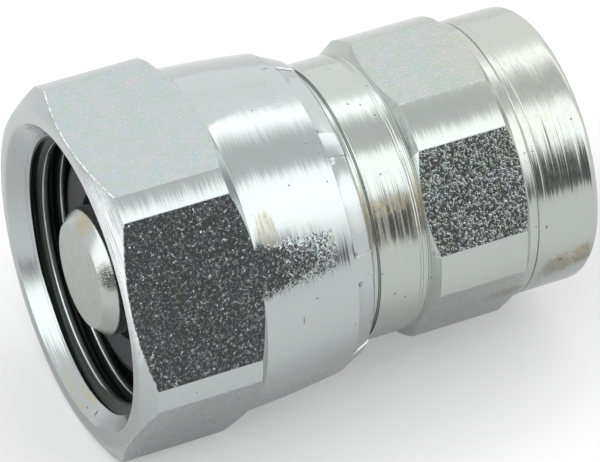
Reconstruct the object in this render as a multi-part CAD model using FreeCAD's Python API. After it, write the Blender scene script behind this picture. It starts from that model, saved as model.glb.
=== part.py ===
"""Screw-to-connect coupling half: a rotating hex union nut, a two-piece body and a poppet valve.

Millimetres, +Z up. The common axis is X. The origin is the centre of the seal face, where the
mating half stops, and +X runs back to the port. The nut stands on one of its flats.
"""

import FreeCAD, Part
import math
import os

from FreeCAD import Vector

AXIS = Vector(1, 0, 0)
ORIGIN = Vector(0, 0, 0)

# Union nut
nut_flat_wall = 1.97
nut_corner_height = 2.0
nut_overhang = 4.9
nut_face_inset = 0.2
nut_face_chamfer = 1.2
nut_hex_length = 12.55
nut_corner_chamfer = 1.4
nut_lip_length = 1.55
barrel_wall = 2.17
barrel_bulge = 0.14
bar_strip_setback = 1.85
bar_strip_bend = 0.04

# Crimped tail of the nut
jaw_count = 8
jaw_gap_degrees = 9.0
jaw_turn = 25.4
jaw_length = 2.55
jaw_depth = 0.14
tail_wall = 1.17
tail_edge_radius = 0.7
tail_end_height = 1.22

# Nut thread, with the wall at its root
nut_thread_diameter = 30.0
mouth_chamfer = 1.45
relief_depth = 0.25
relief_length = 2.0
relief_setback = 0.3

# Nose body
nose_diameter = 25.2
nose_chamfer = 1.0
nose_length = 10.8
collar_step = 1.07
collar_length = 8.7
throat_diameter = 15.8
lip_thickness = 3.2
chamber_diameter = 20.8
spigot_wall = 1.15
spigot_gland_length = 4.4
spigot_thread_step = 0.4
spigot_length = 11.6
chamber_chamfer = 0.4

# Face seal
face_seal_land = 1.2
face_seal_depth = 1.6

# Nut ring in the collar
nut_ring_cord = 1.5
nut_ring_groove_width = 2.2
nut_ring_setback = 3.0

# Thrust ring
thrust_ring_thickness = 1.0

# End body
band_diameter = 29.76
band_length = 9.3
tail_groove_setback = 3.3
tail_groove_width = 0.45
tail_groove_depth = 0.35
body_flat_height = 0.12
body_corner_height = 1.0
body_hex_turn = -3.3
front_chamfer_length = 0.8
body_hex_length = 9.85
rear_chamfer_length = 0.85
rear_land_step = 0.08
rear_land_length = 0.9
rear_groove_width = 0.25
fine_groove_depth = 0.12
front_groove_setback = 8.95
front_groove_width = 0.3
rear_cylinder_diameter = 29.74
rear_cylinder_length = 7.15
rear_edge_radius = 1.0

# Port
port_thread_diameter = 20.96
port_thread_length = 13.1
port_chamfer = 1.0
port_undercut_length = 1.6
port_undercut_depth = 0.25
flow_bore_diameter = 18.0

# Poppet
pusher_gap = 1.1
pusher_face_inset = 1.25
pusher_chamfer = 1.3
pusher_reach = 3.5
seal_spigot_diameter = 9.0
retainer_thread_diameter = 7.0
stem_diameter = 5.0
stem_end_setback = 26.6
stem_chamfer = 0.6
valve_travel = 6.0

# Poppet seal and its retainer
poppet_seal_overlap = 0.9
poppet_seal_thickness = 1.8
poppet_seal_edge = 0.3
retainer_flange_inset = 0.5
retainer_flange_thickness = 1.4
retainer_boss_diameter = 10.0
retainer_boss_length = 2.0
retainer_slot_width = 2.0
retainer_slot_depth = 1.0

# Guide, bush and circlip
guide_setback = 22.0
guide_thickness = 2.2
guide_rim_width = 1.5
guide_hub_diameter = 8.0
guide_hub_rear_length = 1.3
guide_arm_width = 3.2
guide_arm_count = 3
bush_wall = 0.8
bush_inset = 0.4
circlip_thickness = 1.2
circlip_groove_depth = 0.6
circlip_width = 1.7
circlip_opening = 46.0
circlip_hole_diameter = 0.9
circlip_hole_inset = 1.0

# Spring
spring_wire = 1.4
spring_mean_diameter = 12.2
spring_active_turns = 3
spring_end_gap = 0.05

# Body O-ring and its back-up ring
body_ring_groove_depth = 1.35
body_ring_corner = 0.54
body_ring_width = 1.9
backup_ring_width = 1.1
gland_setback = 0.7

# Clearances, and how far a cutter stands out of what it cuts
collar_clearance = 0.08
running_clearance = 0.05
slide_clearance = 0.04
fit_clearance = 0.02
axial_clearance = 0.2
seat_clearance = 0.03
cutter_margin = 1.0

# Diameters and hexagons, worked out from the sizes above
collar_diameter = band_diameter + 2 * collar_step
nut_bore_diameter = collar_diameter + 2 * collar_clearance
nut_across_flats = nut_bore_diameter + 2 * nut_flat_wall
nut_corner_diameter = nut_across_flats + 2 * nut_corner_height
nut_face_diameter = nut_across_flats - 2 * nut_face_inset
barrel_diameter = nut_bore_diameter + 2 * barrel_wall
tail_start_diameter = nut_bore_diameter + 2 * tail_wall
tail_end_diameter = band_diameter + 2 * tail_end_height
barrel_middle_diameter = (barrel_diameter + tail_start_diameter) / 2 + 2 * barrel_bulge
body_across_flats = band_diameter + 2 * body_flat_height
spigot_gland_diameter = chamber_diameter + 2 * (spigot_wall + body_ring_groove_depth)
spigot_thread_diameter = spigot_gland_diameter - 2 * spigot_thread_step
face_seal_diameter = nose_diameter - 2 * face_seal_land
body_corner_diameter = body_across_flats + 2 * body_corner_height
rear_land_diameter = rear_cylinder_diameter + 2 * rear_land_step
pusher_diameter = throat_diameter - 2 * pusher_gap
pusher_face_diameter = pusher_diameter - 2 * pusher_face_inset
poppet_seal_diameter = throat_diameter + 2 * poppet_seal_overlap
retainer_flange_diameter = poppet_seal_diameter - 2 * retainer_flange_inset

# Places along the axis, worked out from the sizes above
nut_front = -nut_overhang
nut_shoulder = nut_front + nut_hex_length + nut_corner_chamfer
collar_front = nose_length
collar_rear = collar_front + collar_length
thrust_rear = collar_rear + thrust_ring_thickness
lip_front = thrust_rear + axial_clearance
nut_rear = lip_front + nut_lip_length
crimp_start = nut_rear - jaw_length
barrel_middle = (nut_shoulder + crimp_start) / 2
bar_strip_end = crimp_start - bar_strip_setback
gland_rear = collar_rear + spigot_gland_length
spigot_rear = collar_rear + spigot_length
band_front = collar_rear
band_rear = band_front + band_length
body_hex_front = band_rear + front_chamfer_length
body_hex_rear = body_hex_front + body_hex_length
land_front = body_hex_rear + rear_chamfer_length
land_rear = land_front + rear_land_length
cylinder_front = land_rear + rear_groove_width
body_rear = cylinder_front + rear_cylinder_length
port_front = body_rear - port_chamfer - port_thread_length
seat = lip_thickness
pusher_front = -pusher_reach
pusher_rear = seat + seat_clearance
seal_rear = pusher_rear + poppet_seal_thickness
flange_rear = seal_rear + retainer_flange_thickness
boss_rear = flange_rear + retainer_boss_length
hub_front = boss_rear + valve_travel + fit_clearance
guide_front = guide_setback
guide_rear = guide_front + guide_thickness
circlip_rear = guide_rear + circlip_thickness


def turned(points):
    """Solid of revolution about X from (x, radius) points, closed along the axis side as given."""
    corners = [Vector(x, radius, 0) for x, radius in points]
    outline = Part.makePolygon(corners + [corners[0]])
    return Part.Face(outline).revolve(ORIGIN, AXIS, 360)


def tube(front, rear, outer, inner):
    """Plain ring between two places on the axis, given as diameters."""
    ring = Part.makeCylinder(outer / 2, rear - front, Vector(front, 0, 0), AXIS)
    return ring.cut(Part.makeCylinder(inner / 2, rear - front, Vector(front, 0, 0), AXIS))


def rod(front, rear, diameter):
    return Part.makeCylinder(diameter / 2, rear - front, Vector(front, 0, 0), AXIS)


def cone(front, rear, front_diameter, rear_diameter):
    length = rear - front
    return Part.makeCone(front_diameter / 2, rear_diameter / 2, length, Vector(front, 0, 0), AXIS)


def spun_copies(shape, count, first=0.0):
    """Copies of a shape, evenly spaced about the axis."""
    copies = []
    for index in range(count):
        copy = shape.copy()
        copy.rotate(ORIGIN, AXIS, first + index * 360.0 / count)
        copies.append(copy)
    return copies


def ring_groove(front, width, outer, depth):
    """Cutter for a square groove in the outside of a cylinder."""
    return tube(front, front + width, outer + 2 * cutter_margin, outer - 2 * depth)


def thread_relief(front, rear, bore, depth):
    """Cutter for the relief at the blind end of a thread."""
    return rod(front, rear, bore + 2 * depth)


def crimp_profile(lowered):
    """Outline of the barrel and tail, as a wire in the XY plane from the shoulder to the end face."""
    barrel = Part.Arc(
        Vector(nut_shoulder, barrel_diameter / 2, 0),
        Vector(barrel_middle, barrel_middle_diameter / 2, 0),
        Vector(crimp_start, tail_start_diameter / 2, 0),
    ).toShape()
    start = Vector(crimp_start, tail_start_diameter / 2 - lowered, 0)
    drop = (tail_start_diameter - tail_end_diameter) / 2
    slope = math.atan2(drop, jaw_length)
    centre_x = nut_rear - tail_edge_radius
    centre_r = start.y - (centre_x - crimp_start) * math.tan(slope) - tail_edge_radius / math.cos(slope)
    edge, knee, end = [
        Vector(centre_x + tail_edge_radius * math.sin(a), centre_r + tail_edge_radius * math.cos(a), 0)
        for a in (slope, (slope + math.pi / 2) / 2, math.pi / 2)
    ]
    pieces = [barrel]
    if lowered:
        pieces.append(Part.makeLine(Vector(crimp_start, tail_start_diameter / 2, 0), start))
    pieces += [Part.makeLine(start, edge), Part.Arc(edge, knee, end).toShape()]
    return pieces, end


def nut_blank():
    """Turned outside of the nut with its raised tail, before the flats."""
    pieces, end = crimp_profile(0.0)
    front = [
        Vector(nut_rear, 0, 0),
        Vector(nut_front, 0, 0),
        Vector(nut_front, nut_face_diameter / 2, 0),
        Vector(nut_front + nut_face_chamfer, nut_corner_diameter / 2, 0),
        Vector(nut_front + nut_hex_length, nut_corner_diameter / 2, 0),
        Vector(nut_shoulder, barrel_diameter / 2, 0),
    ]
    lines = [Part.makeLine(a, b) for a, b in zip(front, front[1:])]
    closing = Part.makeLine(end, Vector(nut_rear, 0, 0))
    outline = Part.Wire(Part.__sortEdges__(lines + pieces + [closing]))
    return Part.Face(outline).revolve(ORIGIN, AXIS, 360)


def jaw_cutter():
    """What one crimping jaw presses in: the sector between the raised and the pressed tail."""
    pieces, end = crimp_profile(jaw_depth)
    pressed = pieces[1:]
    behind = nut_rear + cutter_margin
    above = barrel_diameter / 2 + cutter_margin
    outside = [
        end,
        Vector(behind, end.y, 0),
        Vector(behind, above, 0),
        Vector(crimp_start, above, 0),
        Vector(crimp_start, tail_start_diameter / 2, 0),
    ]
    lines = [Part.makeLine(a, b) for a, b in zip(outside, outside[1:])]
    outline = Part.Wire(Part.__sortEdges__(pressed + lines))
    sweep = 360.0 / jaw_count - jaw_gap_degrees
    return Part.Face(outline).revolve(ORIGIN, AXIS, sweep)


def flat_cutter():
    """Cutter for one flat: straight along the hexagon, then bent inwards with the swaged barrel."""
    flat = nut_across_flats / 2
    reach = nut_corner_diameter
    before = nut_front - cutter_margin
    fade = bar_strip_end
    middle = (nut_shoulder + fade) / 2
    bend = Part.Arc(
        Vector(nut_shoulder, 0, flat),
        Vector(middle, 0, barrel_radius(middle) - bar_strip_bend),
        Vector(fade, 0, barrel_radius(fade)),
    ).toShape()
    sides = [
        Vector(fade, 0, barrel_radius(fade)),
        Vector(fade, 0, reach),
        Vector(before, 0, reach),
        Vector(before, 0, flat),
        Vector(nut_shoulder, 0, flat),
    ]
    lines = [Part.makeLine(a, b) for a, b in zip(sides, sides[1:])]
    face = Part.Face(Part.Wire(Part.__sortEdges__(lines + [bend])))
    face.translate(Vector(0, -nut_corner_diameter / 2, 0))
    return face.extrude(Vector(0, nut_corner_diameter, 0))


def barrel_radius(x):
    """Radius of the swaged barrel's arc at a place on the axis."""
    first = (nut_shoulder, barrel_diameter / 2)
    middle = (barrel_middle, barrel_middle_diameter / 2)
    last = (crimp_start, tail_start_diameter / 2)
    centre_x, centre_r, radius = circle_through(first, middle, last)
    return centre_r + math.sqrt(radius ** 2 - (x - centre_x) ** 2)


def circle_through(a, b, c):
    """Centre and radius of the circle through three points."""
    d = 2 * (a[0] * (b[1] - c[1]) + b[0] * (c[1] - a[1]) + c[0] * (a[1] - b[1]))
    squares = [p[0] ** 2 + p[1] ** 2 for p in (a, b, c)]
    x = (squares[0] * (b[1] - c[1]) + squares[1] * (c[1] - a[1]) + squares[2] * (a[1] - b[1])) / d
    y = (squares[0] * (c[0] - b[0]) + squares[1] * (a[0] - c[0]) + squares[2] * (b[0] - a[0])) / d
    return x, y, math.hypot(a[0] - x, a[1] - y)


def union_nut():
    first = jaw_turn + jaw_gap_degrees / 2
    nut = nut_blank().cut(spun_copies(jaw_cutter(), jaw_count, first))
    nut = nut.cut(spun_copies(flat_cutter(), 6))
    root = nut_thread_diameter
    mouth_rear = nut_front + mouth_chamfer
    relief_end = collar_front - relief_setback
    thread_end = relief_end - relief_length
    bore = rod(nut_front, thread_end, root)
    bore = bore.fuse(cone(nut_front, mouth_rear, root + 2 * mouth_chamfer, root))
    bore = bore.fuse(thread_relief(thread_end, relief_end, root, relief_depth))
    bore = bore.fuse(rod(relief_end, lip_front, nut_bore_diameter))
    bore = bore.fuse(rod(lip_front, nut_rear, band_diameter + 4 * running_clearance))
    return nut.cut(bore.removeSplitter())


def nose_body():
    nose = nose_diameter / 2
    body = turned([
        (0, 0),
        (0, nose - nose_chamfer),
        (nose_chamfer, nose),
        (collar_front, nose),
        (collar_front, collar_diameter / 2),
        (collar_rear, collar_diameter / 2),
        (collar_rear, spigot_gland_diameter / 2),
        (gland_rear, spigot_gland_diameter / 2),
        (gland_rear, spigot_thread_diameter / 2),
        (spigot_rear - chamber_chamfer, spigot_thread_diameter / 2),
        (spigot_rear, spigot_thread_diameter / 2 - chamber_chamfer),
        (spigot_rear, 0),
    ])
    groove = collar_front + nut_ring_setback
    ring_bottom = nut_bore_diameter / 2 - nut_ring_cord - fit_clearance
    ring_depth = collar_diameter / 2 - ring_bottom
    body = body.cut(ring_groove(groove, nut_ring_groove_width, collar_diameter, ring_depth))
    gland_width = body_ring_width + backup_ring_width
    gland_front = collar_rear + gland_setback
    body = body.cut(ring_groove(gland_front, gland_width, spigot_gland_diameter, body_ring_groove_depth))
    body = body.cut(rod(0, seat, throat_diameter))
    body = body.cut(rod(0, face_seal_depth, face_seal_diameter + 2 * fit_clearance))
    body = body.cut(rod(seat, spigot_rear, chamber_diameter))
    mouth = chamber_diameter + 2 * chamber_chamfer
    body = body.cut(cone(spigot_rear - chamber_chamfer, spigot_rear, chamber_diameter, mouth))
    groove_diameter = chamber_diameter + 2 * circlip_groove_depth
    return body.cut(rod(guide_rear, circlip_rear, groove_diameter))


def end_body():
    band = band_diameter / 2
    corner = body_corner_diameter / 2
    cylinder = rear_cylinder_diameter / 2
    blank = turned([
        (band_front, 0),
        (band_front, band),
        (band_rear, band),
        (body_hex_front, corner),
        (body_hex_rear, corner),
        (land_front, rear_land_diameter / 2),
        (land_rear, rear_land_diameter / 2),
        (land_rear, cylinder - fine_groove_depth),
        (cylinder_front, cylinder - fine_groove_depth),
        (cylinder_front, cylinder),
        (body_rear, cylinder),
        (body_rear, 0),
    ])
    rim = [edge for edge in blank.Edges if is_circle(edge, body_rear, cylinder)]
    blank = blank.makeFillet(rear_edge_radius, rim)
    prism = hexagon(band_front - cutter_margin, body_rear + cutter_margin, body_across_flats)
    prism.rotate(ORIGIN, AXIS, body_hex_turn)
    body = blank.common(prism)
    tail_groove = band_front + tail_groove_setback
    body = body.cut(ring_groove(tail_groove, tail_groove_width, band_diameter, tail_groove_depth))
    front_groove = band_front + front_groove_setback
    body = body.cut(ring_groove(front_groove, front_groove_width, band_diameter, fine_groove_depth))
    gland_rear_wall = gland_rear + axial_clearance
    body = body.cut(rod(band_front, gland_rear_wall, spigot_gland_diameter + 2 * fit_clearance))
    body = body.cut(rod(gland_rear_wall, spigot_rear, spigot_thread_diameter + 2 * fit_clearance))
    body = body.cut(rod(spigot_rear, port_front, flow_bore_diameter))
    body = body.cut(thread_relief(port_front - port_undercut_length, port_front,
                                  port_thread_diameter, port_undercut_depth))
    body = body.cut(rod(port_front, body_rear, port_thread_diameter))
    mouth = port_thread_diameter + 2 * port_chamfer
    return body.cut(cone(body_rear - port_chamfer, body_rear, port_thread_diameter, mouth))


def is_circle(edge, x, radius):
    """True for a full circle of this radius about the axis at this place."""
    curve = edge.Curve
    if not isinstance(curve, Part.Circle):
        return False
    return abs(curve.Center.x - x) < 1e-6 and abs(curve.Radius - radius) < 1e-6


def hexagon(front, rear, across_flats):
    """Hexagon prism along X with a flat on top."""
    corner = across_flats / math.sqrt(3)
    angles = [math.radians(60 * index) for index in range(7)]
    points = [Vector(front, corner * math.cos(a), corner * math.sin(a)) for a in angles]
    return Part.Face(Part.makePolygon(points)).extrude(Vector(rear - front, 0, 0))


def face_seal():
    return tube(0, face_seal_depth, face_seal_diameter, throat_diameter)


def nut_o_ring():
    centre = collar_front + nut_ring_setback + nut_ring_groove_width / 2
    radius = nut_bore_diameter / 2 - fit_clearance - nut_ring_cord / 2
    return Part.makeTorus(radius, nut_ring_cord / 2 - fit_clearance / 2, Vector(centre, 0, 0), AXIS)


def thrust_ring():
    inner = band_diameter + 2 * running_clearance
    return tube(collar_rear, thrust_rear, collar_diameter, inner)


def gland_bottom():
    return spigot_gland_diameter - 2 * body_ring_groove_depth


def body_o_ring():
    """Squeezed O-ring, drawn with the flattened section that it has in its groove."""
    front = collar_rear + gland_setback
    ring = tube(front, front + body_ring_width, spigot_gland_diameter, gland_bottom())
    return ring.makeFillet(body_ring_corner, ring_edges(ring))


def ring_edges(ring):
    return [edge for edge in ring.Edges if isinstance(edge.Curve, Part.Circle)]


def body_backup_ring():
    front = collar_rear + gland_setback + body_ring_width
    return tube(front, front + backup_ring_width, spigot_gland_diameter, gland_bottom())


def valve_poppet():
    stem_end = stem_end_setback
    return turned([
        (pusher_front, 0),
        (pusher_front, pusher_face_diameter / 2),
        (pusher_front + pusher_chamfer, pusher_diameter / 2),
        (pusher_rear, pusher_diameter / 2),
        (pusher_rear, seal_spigot_diameter / 2),
        (seal_rear, seal_spigot_diameter / 2),
        (seal_rear, retainer_thread_diameter / 2),
        (boss_rear, retainer_thread_diameter / 2),
        (boss_rear, stem_diameter / 2),
        (stem_end - stem_chamfer, stem_diameter / 2),
        (stem_end, stem_diameter / 2 - stem_chamfer),
        (stem_end, 0),
    ])


def poppet_seal():
    inner = seal_spigot_diameter + 2 * fit_clearance
    ring = tube(pusher_rear, seal_rear, poppet_seal_diameter, inner)
    outer = [edge for edge in ring_edges(ring) if edge.Curve.Radius > poppet_seal_diameter / 2 - 0.01]
    return ring.makeFillet(poppet_seal_edge, outer)


def seal_retainer():
    """Flanged nut with a driver slot across its boss."""
    bore = retainer_thread_diameter + 2 * fit_clearance
    flange = tube(seal_rear, flange_rear, retainer_flange_diameter, bore)
    retainer = flange.fuse(tube(flange_rear, boss_rear, retainer_boss_diameter, bore)).removeSplitter()
    slot = Part.makeBox(
        retainer_slot_depth, retainer_boss_diameter, retainer_slot_width,
        Vector(boss_rear - retainer_slot_depth, -retainer_boss_diameter / 2, -retainer_slot_width / 2),
    )
    return retainer.cut(slot)


def valve_guide():
    """Rim, hub and arms, with flow windows between the arms."""
    rim_diameter = chamber_diameter - 2 * running_clearance
    rim = tube(guide_front, guide_rear, rim_diameter, rim_diameter - 2 * guide_rim_width)
    hub = rod(hub_front, guide_rear + guide_hub_rear_length, guide_hub_diameter)
    arm = Part.makeBox(
        guide_thickness, guide_arm_width, rim_diameter / 2 - guide_rim_width / 2,
        Vector(guide_front, -guide_arm_width / 2, 0),
    )
    guide = rim.fuse([hub] + spun_copies(arm, guide_arm_count)).removeSplitter()
    bore = stem_diameter + 2 * slide_clearance
    guide = guide.cut(rod(hub_front, guide_rear + guide_hub_rear_length, bore))
    seat_diameter = bore + 2 * bush_wall + 2 * fit_clearance
    return guide.cut(rod(hub_front + bush_inset, guide_rear + guide_hub_rear_length, seat_diameter))


def guide_bush():
    bore = stem_diameter + 2 * slide_clearance
    rear = guide_rear + guide_hub_rear_length
    return tube(hub_front + bush_inset, rear, bore + 2 * bush_wall, bore)


def guide_circlip():
    """Internal retaining ring with a gap at the top and a plier hole in each end."""
    outer = chamber_diameter + 2 * circlip_groove_depth - 2 * fit_clearance
    inner = outer - 2 * circlip_width
    section = Part.makePolygon([
        Vector(guide_rear, inner / 2, 0),
        Vector(guide_rear, outer / 2, 0),
        Vector(circlip_rear, outer / 2, 0),
        Vector(circlip_rear, inner / 2, 0),
        Vector(guide_rear, inner / 2, 0),
    ])
    ring = Part.Face(section).revolve(ORIGIN, AXIS, 360 - circlip_opening)
    ring.rotate(ORIGIN, AXIS, 90 + circlip_opening / 2)
    middle = (outer + inner) / 4
    for side in (-1, 1):
        inset = math.degrees(circlip_hole_inset / middle)
        angle = math.radians(90 + side * (circlip_opening / 2 + inset))
        centre = Vector(guide_rear, middle * math.cos(angle), middle * math.sin(angle))
        hole = Part.makeCylinder(circlip_hole_diameter / 2, circlip_thickness, centre, AXIS)
        ring = ring.cut(hole)
    return ring


def half_coil(front, rear, side):
    """Half a turn of the spring, from one side of the axis to the other, as part of a tilted torus."""
    reach = side * spring_mean_diameter / 2
    start = Vector(front, reach, 0)
    finish = Vector(rear, -reach, 0)
    wire = Part.Face(Part.Wire(Part.makeCircle(spring_wire / 2, start, Vector(0, 0, 1))))
    across = finish - start
    pivot = across.cross(Vector(0, 0, -side))
    return wire.revolve((start + finish) * 0.5, pivot, 180)


def valve_spring():
    """Round-wire compression spring with a closed coil at each end, between retainer and guide."""
    closing = spring_wire + spring_end_gap
    inset = spring_wire / 2 + seat_clearance
    length = guide_front - flange_rear - 2 * inset
    lead = (length - 2 * closing) / (2 * spring_active_turns)
    rises = [0.0, closing] + [lead] * (2 * spring_active_turns) + [closing, 0.0]
    place = flange_rear + inset
    side = 1
    coils = []
    for rise in rises:
        coils.append(half_coil(place, place + rise, side))
        place += rise
        side = -side
    return coils[0].fuse(coils[1:])


PIECES = {
    "union_nut": union_nut,
    "nose_body": nose_body,
    "end_body": end_body,
    "face_seal": face_seal,
    "nut_o_ring": nut_o_ring,
    "thrust_ring": thrust_ring,
    "body_o_ring": body_o_ring,
    "body_backup_ring": body_backup_ring,
    "valve_poppet": valve_poppet,
    "poppet_seal": poppet_seal,
    "seal_retainer": seal_retainer,
    "valve_spring": valve_spring,
    "valve_guide": valve_guide,
    "guide_bush": guide_bush,
    "guide_circlip": guide_circlip,
}


def main():
    os.makedirs("parts", exist_ok=True)
    for name, make in PIECES.items():
        shape = make()
        shape.exportStep(f"parts/{name}.step")
        solids = len(shape.Solids)
        print(f"{name}: {solids} solid, {shape.Volume:.1f} mm3, valid {shape.isValid()}")


main()
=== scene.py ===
"""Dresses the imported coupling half: turned, crimped and hexagon parts in zinc-plated steel.

The script is laid out as an add-on. Run as a script, it makes every piece and the studio in order.
Meshes are worked in millimetres and scaled to metres when a piece is finished.
"""

import math

import bmesh
import bpy
from bpy.props import FloatProperty, FloatVectorProperty, PointerProperty
from mathutils import Matrix, Vector


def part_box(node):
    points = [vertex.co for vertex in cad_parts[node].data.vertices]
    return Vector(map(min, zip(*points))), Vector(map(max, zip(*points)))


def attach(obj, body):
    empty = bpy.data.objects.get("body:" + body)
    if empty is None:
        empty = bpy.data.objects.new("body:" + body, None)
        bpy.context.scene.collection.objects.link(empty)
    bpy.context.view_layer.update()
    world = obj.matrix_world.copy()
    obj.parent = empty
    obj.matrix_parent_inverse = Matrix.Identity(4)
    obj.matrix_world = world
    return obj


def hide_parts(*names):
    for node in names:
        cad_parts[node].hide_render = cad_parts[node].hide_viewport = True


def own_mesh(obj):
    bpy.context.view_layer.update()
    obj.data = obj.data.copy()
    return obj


bl_info = {
    "name": "Screw Coupling Half",
    "version": (1, 0, 0),
    "blender": (4, 5, 0),
    "location": "3D View > Sidebar > Coupling",
    "description": "Finishes a screw-to-connect coupling half with its union nut, body and poppet valve",
    "category": "Object",
}

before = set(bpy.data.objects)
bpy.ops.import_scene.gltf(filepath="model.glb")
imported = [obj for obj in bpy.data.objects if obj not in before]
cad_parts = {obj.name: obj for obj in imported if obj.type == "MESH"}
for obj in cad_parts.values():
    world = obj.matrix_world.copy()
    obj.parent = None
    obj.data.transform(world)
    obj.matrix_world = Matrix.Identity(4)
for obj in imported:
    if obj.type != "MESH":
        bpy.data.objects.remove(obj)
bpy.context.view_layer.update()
MM = 0.001


def cad_ends(node):
    """Places along the axis where a CAD node starts and ends, in millimetres."""
    low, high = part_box(node)
    return low.x / MM, high.x / MM


NUT_FRONT, NUT_REAR = cad_ends("union_nut")
BODY_FRONT, BODY_REAR = cad_ends("end_body")
NOSE_FRONT, NOSE_REAR = cad_ends("nose_body")
POPPET_FRONT, POPPET_REAR = cad_ends("valve_poppet")
SEAL_FRONT, SEAL_REAR = cad_ends("face_seal")
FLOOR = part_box("union_nut")[0].z

# Union nut. On the 45 degree cone of its mouth, place and radius add up to MOUTH
NUT_FLAT = 18.0
NUT_CORNER = 20.0
NUT_ROOT = 15.0
MOUTH = NUT_FRONT + 16.45
CHAMFER_RADIUS = 17.8
CHAMFER_LENGTH = 1.2
NUT_SHOULDER = NUT_FRONT + 13.95
CRIMP_START = NUT_REAR - 2.55
STRIP_END = CRIMP_START - 1.85

# The swaged barrel behind the nut's hexagon, as (place, radius) at its front, middle and rear
BARREL = (NUT_SHOULDER, 18.2), ((NUT_SHOULDER + CRIMP_START) / 2, 17.84), (CRIMP_START, 17.2)

# Sectors that the crimping jaws press into the nut's tail, in degrees, and how deep they go
JAW_FIRST = 29.9
JAW_SWEEP = 36.0
JAW_PITCH = 45.0
JAW_DEPTH = 0.14

# End body, with its hexagon turned a little against the nut's
BODY_FLAT = 15.0
BODY_CORNER = 16.0
BODY_TURN = math.radians(-3.3)
HEX_FRONT = BODY_FRONT + 10.1
HEX_REAR = HEX_FRONT + 9.85
PORT_END = BODY_REAR - 14.1
PORT_ROOT = 10.48
PORT_MOUTH = 11.48


def circle_through(a, b, c):
    """Centre and radius of the circle through three points."""
    d = 2 * (a[0] * (b[1] - c[1]) + b[0] * (c[1] - a[1]) + c[0] * (a[1] - b[1]))
    squares = [p[0] ** 2 + p[1] ** 2 for p in (a, b, c)]
    x = (squares[0] * (b[1] - c[1]) + squares[1] * (c[1] - a[1]) + squares[2] * (a[1] - b[1])) / d
    y = (squares[0] * (c[0] - b[0]) + squares[1] * (a[0] - c[0]) + squares[2] * (b[0] - a[0])) / d
    return x, y, math.hypot(a[0] - x, a[1] - y)


BARREL_ARC = circle_through(*BARREL)


def on_arc(arc, x):
    """Distance from the axis of an arc's upper side, at a place along the axis."""
    centre, height, radius = arc
    return height + math.sqrt(radius ** 2 - (x - centre) ** 2)


# Shader helpers


class Value:
    """What a socket gives out. The arithmetic operators are for numbers and add Math nodes."""

    def __init__(self, nodes, socket):
        self.nodes = nodes
        self.socket = socket

    def maths(self, operation, *others):
        inputs = dict(enumerate((self,) + others))
        return self.nodes.add("ShaderNodeMath", {"operation": operation}, inputs).out(0)

    def reflected(self, operation, other):
        return self.nodes.add("ShaderNodeMath", {"operation": operation}, {0: other, 1: self}).out(0)

    def __add__(self, other):
        return self.maths("ADD", other)

    def __sub__(self, other):
        return self.maths("SUBTRACT", other)

    def __mul__(self, other):
        return self.maths("MULTIPLY", other)

    def __truediv__(self, other):
        return self.maths("DIVIDE", other)

    def __pow__(self, other):
        return self.maths("POWER", other)

    def __neg__(self):
        return self.maths("MULTIPLY", -1.0)

    def __abs__(self):
        return self.maths("ABSOLUTE")

    def __radd__(self, other):
        return self.reflected("ADD", other)

    def __rsub__(self, other):
        return self.reflected("SUBTRACT", other)

    def __rmul__(self, other):
        return self.reflected("MULTIPLY", other)

    def __rtruediv__(self, other):
        return self.reflected("DIVIDE", other)

    def between(self, low, high):
        """0 at low and 1 at high, with a smooth step between them."""
        settings = {"interpolation_type": "SMOOTHSTEP"}
        return self.nodes.add("ShaderNodeMapRange", settings, {
            "Value": self, "From Min": low, "From Max": high,
        }).out("Result")


class Placed:
    """A node that is in place, with its outputs by name or number."""

    def __init__(self, nodes, node):
        self.nodes = nodes
        self.node = node

    def out(self, name):
        return Value(self.nodes, self.node.outputs[name])


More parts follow.
